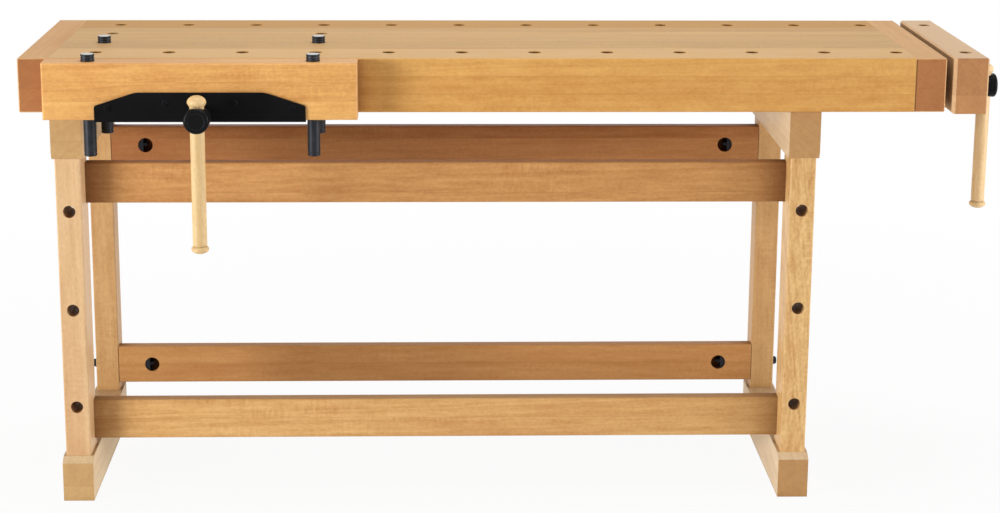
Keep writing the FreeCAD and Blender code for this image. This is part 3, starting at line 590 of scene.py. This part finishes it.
def threaded_screw(vise, outward):
    """A vise screw: a plain journal in the hub and the jaw, and a trapezoidal thread behind it."""
    low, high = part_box(vise + "_screw")
    jaw_low, jaw_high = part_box(vise + "_jaw")
    along = AXES["X"] if abs(outward.x) > 0.5 else AXES["Y"]
    radius = (high.z - low.z) / 2
    length = high[along] - low[along]
    journal = JOURNAL_IN_HUB + (jaw_high[along] - jaw_low[along])
    # It is built about Z, with z = 0 at the end inside the hub
    mesh = bmesh.new()
    cut_thread(mesh, radius, journal, length)
    bmesh.ops.create_cone(mesh, cap_ends=True, segments=JOURNAL_STEPS, radius1=radius, radius2=radius,
                          depth=journal, matrix=Matrix.Translation((0, 0, journal / 2)))
    start = (low + high) / 2 + outward * (length / 2)
    bmesh.ops.transform(mesh, matrix=Matrix.Translation(start) @ turned_to(-outward), verts=mesh.verts)
    return piece(vise + "_threaded_screw", mesh, ground_steel, vise + "_screw", vise + "_screw")


HEAD_RADIUS = 7.5 * MM
HEAD_HEIGHT = 3.6 * MM
HEAD_STEPS = 24
# Rings of the head's crown, as shares of its radius
CROWN_RINGS = (0.62, 0.84, 0.96)
RECESS_LENGTH = 8.4 * MM
RECESS_WIDTH = 2.2 * MM
RECESS_DEPTH = 1.8 * MM
RECESS_TAPER = 0.7
SHANK_RADIUS = 3.4 * MM
# Distance of the two inner screws from the middle of the plate
INNER_SCREW_DISTANCE = 66.5 * MM
# Degrees by which the crosses are turned: one way or the other by side, and more the further out
TWIST_BY_SIDE = 20
TWIST_PER_METRE = 400


def cross_outline():
    """Outline of the cross recess, anticlockwise."""
    half = RECESS_WIDTH / 2
    arm = RECESS_LENGTH / 2
    outline = []
    for quarter in range(4):
        turn = Matrix.Rotation(quarter * math.pi / 2, 2)
        outline += [turn @ Vector(point) for point in ((half, half), (half, arm), (-half, arm))]
    return outline


def one_pan_head(mesh, spot, outward, length, twist_degrees):
    """Pan head on its shank, with four arms sunk into its crown."""
    cross = cross_outline()
    crown = [mesh.verts.new((p.x, p.y, HEAD_HEIGHT)) for p in cross]
    floor_height = HEAD_HEIGHT - RECESS_DEPTH
    floor = [mesh.verts.new((p.x * RECESS_TAPER, p.y * RECESS_TAPER, floor_height)) for p in cross]
    sections = [(HEAD_RADIUS * share, HEAD_HEIGHT * (1 - share ** 4)) for share in CROWN_RINGS]
    sections += [(HEAD_RADIUS, 0.0), (SHANK_RADIUS, 0.0), (SHANK_RADIUS, -length)]
    loops = [[mesh.verts.new(point) for point in circle(r, z, HEAD_STEPS)] for r, z in sections]
    made = crown + floor + [v for loop in loops for v in loop]
    for i in range(len(cross)):
        j = (i + 1) % len(cross)
        mesh.faces.new((crown[i], crown[j], floor[j], floor[i]))
    mesh.faces.new(floor)
    for a, b in zip(loops, loops[1:]):
        for i in range(HEAD_STEPS):
            j = (i + 1) % HEAD_STEPS
            mesh.faces.new((a[i], a[j], b[j], b[i]))
    mesh.faces.new(loops[-1])
    rims = []
    for rim in (crown, loops[0]):
        rims += [mesh.edges.get((rim[i], rim[(i + 1) % len(rim)])) for i in range(len(rim))]
    bmesh.ops.triangle_fill(mesh, use_beauty=True, use_dissolve=False, edges=rims)
    twist = Matrix.Rotation(math.radians(twist_degrees), 4, "Z")
    bmesh.ops.transform(mesh, matrix=Matrix.Translation(spot) @ turned_to(outward) @ twist, verts=made)


def cross_head_screws(vise, outward):
    """The four pan-head screws with a cross recess that hold the plate on the jaw."""
    low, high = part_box(vise + "_plate_screws")
    plate_low, plate_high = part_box(vise + "_jaw_plate")
    along = AXES["X"] if abs(outward.x) > 0.5 else AXES["Y"]
    across = 1 - along
    if outward[along] > 0:
        face, tip = plate_high[along], low[along]
    else:
        face, tip = plate_low[along], high[along]
    middle = (low[across] + high[across]) / 2
    outer = (high[across] - low[across]) / 2 - HEAD_RADIUS
    mesh = bmesh.new()
    for distance, height in ((outer, low.z + HEAD_RADIUS), (INNER_SCREW_DISTANCE, high.z - HEAD_RADIUS)):
        for side in (-1, 1):
            spot = Vector((0, 0, height))
            spot[along] = face
            spot[across] = middle + side * distance
            twist = TWIST_BY_SIDE * side + TWIST_PER_METRE * distance
            one_pan_head(mesh, spot, outward, abs(tip - face), twist)
    return piece(vise + "_cross_head_screws", mesh, black_coat, vise + "_jaw", vise + "_plate_screws")


for vise, outward in (("front", Vector((0, -1, 0))), ("end", Vector((1, 0, 0)))):
    threaded_screw(vise, outward)
    cross_head_screws(vise, outward)


# ---------------------------------------------------------------- camera, floor and light

def add_camera(place, pitch, yaw, roll, lens_mm, shift):
    """Camera that looks along +Y, down by its pitch and to the right by its yaw, in degrees."""
    lens = bpy.data.cameras.new("camera")
    lens.sensor_width = 36.0
    lens.lens = lens_mm
    lens.shift_x, lens.shift_y = shift
    lens.clip_end = 100.0
    look = Matrix.Rotation(math.radians(-yaw), 4, "Z")
    look = look @ Matrix.Rotation(math.radians(90 - pitch), 4, "X")
    look = look @ Matrix.Rotation(math.radians(roll), 4, "Z")
    camera = bpy.data.objects.new("camera", lens)
    camera.matrix_world = Matrix.Translation(place) @ look
    bpy.context.scene.collection.objects.link(camera)
    bpy.context.scene.camera = camera


def looked_at(tree):
    """1 for what the eye sees, straight, in a gloss or through glass, and 0 for the light on the bench."""
    path = add(tree, "LightPath")
    seen = add(tree, "Math", {0: path.outputs["Is Camera Ray"], 1: path.outputs["Is Glossy Ray"]},
               operation="MAXIMUM").outputs[0]
    return add(tree, "Math", {0: seen, 1: path.outputs["Is Transmission Ray"]},
               operation="MAXIMUM").outputs[0]


def floor_white():
    """Matt white that glows for the eye, with a faint shadow by the bench and pure white further off."""
    material, tree, surface = new_finish("studio_floor", 0.8)
    surface.inputs["Base Color"].default_value = paint("F4F4F4")
    glow = add(tree, "Emission", {"Color": paint("FFFFFF"), "Strength": 1.0})
    from_bench = add(tree, "VectorMath", {0: add(tree, "TexCoord").outputs["Object"]}, operation="LENGTH")
    paleness = add(tree, "MapRange", {"Value": from_bench.outputs["Value"], "From Min": 0.9, "From Max": 2.8,
                                      "To Min": 0.93, "To Max": 1.0}).outputs["Result"]
    share = add(tree, "Math", {0: looked_at(tree), 1: paleness}, operation="MULTIPLY").outputs[0]
    mixed = add(tree, "MixShader", {0: share, 1: surface.outputs[0], 2: glow.outputs[0]})
    tree.links.new(mixed.outputs[0], tree.nodes["Material Output"].inputs["Surface"])
    return material


def add_floor(half_width, drop):
    mesh = bmesh.new()
    bmesh.ops.create_grid(mesh, x_segments=8, y_segments=8, size=half_width)
    data = bpy.data.meshes.new("studio_floor")
    mesh.to_mesh(data)
    mesh.free()
    data.materials.append(floor_white())
    floor = bpy.data.objects.new("studio_floor", data)
    floor.location.z = -drop
    bpy.context.scene.collection.objects.link(floor)


def add_backdrop(light_on_bench):
    """White all round for the eye, and a weaker light on the bench."""
    world = bpy.data.worlds.new("studio")
    world.use_nodes = True
    tree = world.node_tree
    sky = tree.nodes["Background"]
    sky.inputs["Color"].default_value = paint("FFFFFF")
    strength = add(tree, "MapRange", {"Value": looked_at(tree), "To Min": light_on_bench, "To Max": 1.0})
    tree.links.new(strength.outputs["Result"], sky.inputs["Strength"])
    bpy.context.scene.world = world


def soft_box(name, place, target, width, height, watts):
    lamp = bpy.data.lights.new(name, "AREA")
    lamp.shape = "RECTANGLE"
    lamp.size = width
    lamp.size_y = height
    lamp.energy = watts
    holder = bpy.data.objects.new(name, lamp)
    holder.location = place
    holder.rotation_mode = "QUATERNION"
    holder.rotation_quaternion = (Vector(target) - Vector(place)).to_track_quat("-Z", "Y")
    bpy.context.scene.collection.objects.link(holder)


add_camera((-0.2004, -4.2796, 1.6146), pitch=12.81, yaw=1.652, roll=0.286, lens_mm=76.11,
           shift=(0.015, -0.08))
# The floor lies a hair below the feet, so that the two faces never lie in one plane
add_floor(half_width=40, drop=0.2 * MM)
add_backdrop(light_on_bench=0.20)
soft_box("left_soft_box", (-5.2, -3.2, 1.1), (0.0, 0.0, 0.5), width=2.2, height=2.0, watts=270)
soft_box("right_soft_box", (6.5, -2.0, 1.0), (0.0, 0.0, 0.5), width=3.0, height=2.2, watts=320)
soft_box("top_soft_box", (0.0, 0.1, 3.6), (0.0, 0.1, 0.9), width=3.0, height=1.6, watts=66)
bpy.context.scene.view_settings.view_transform = "Standard"
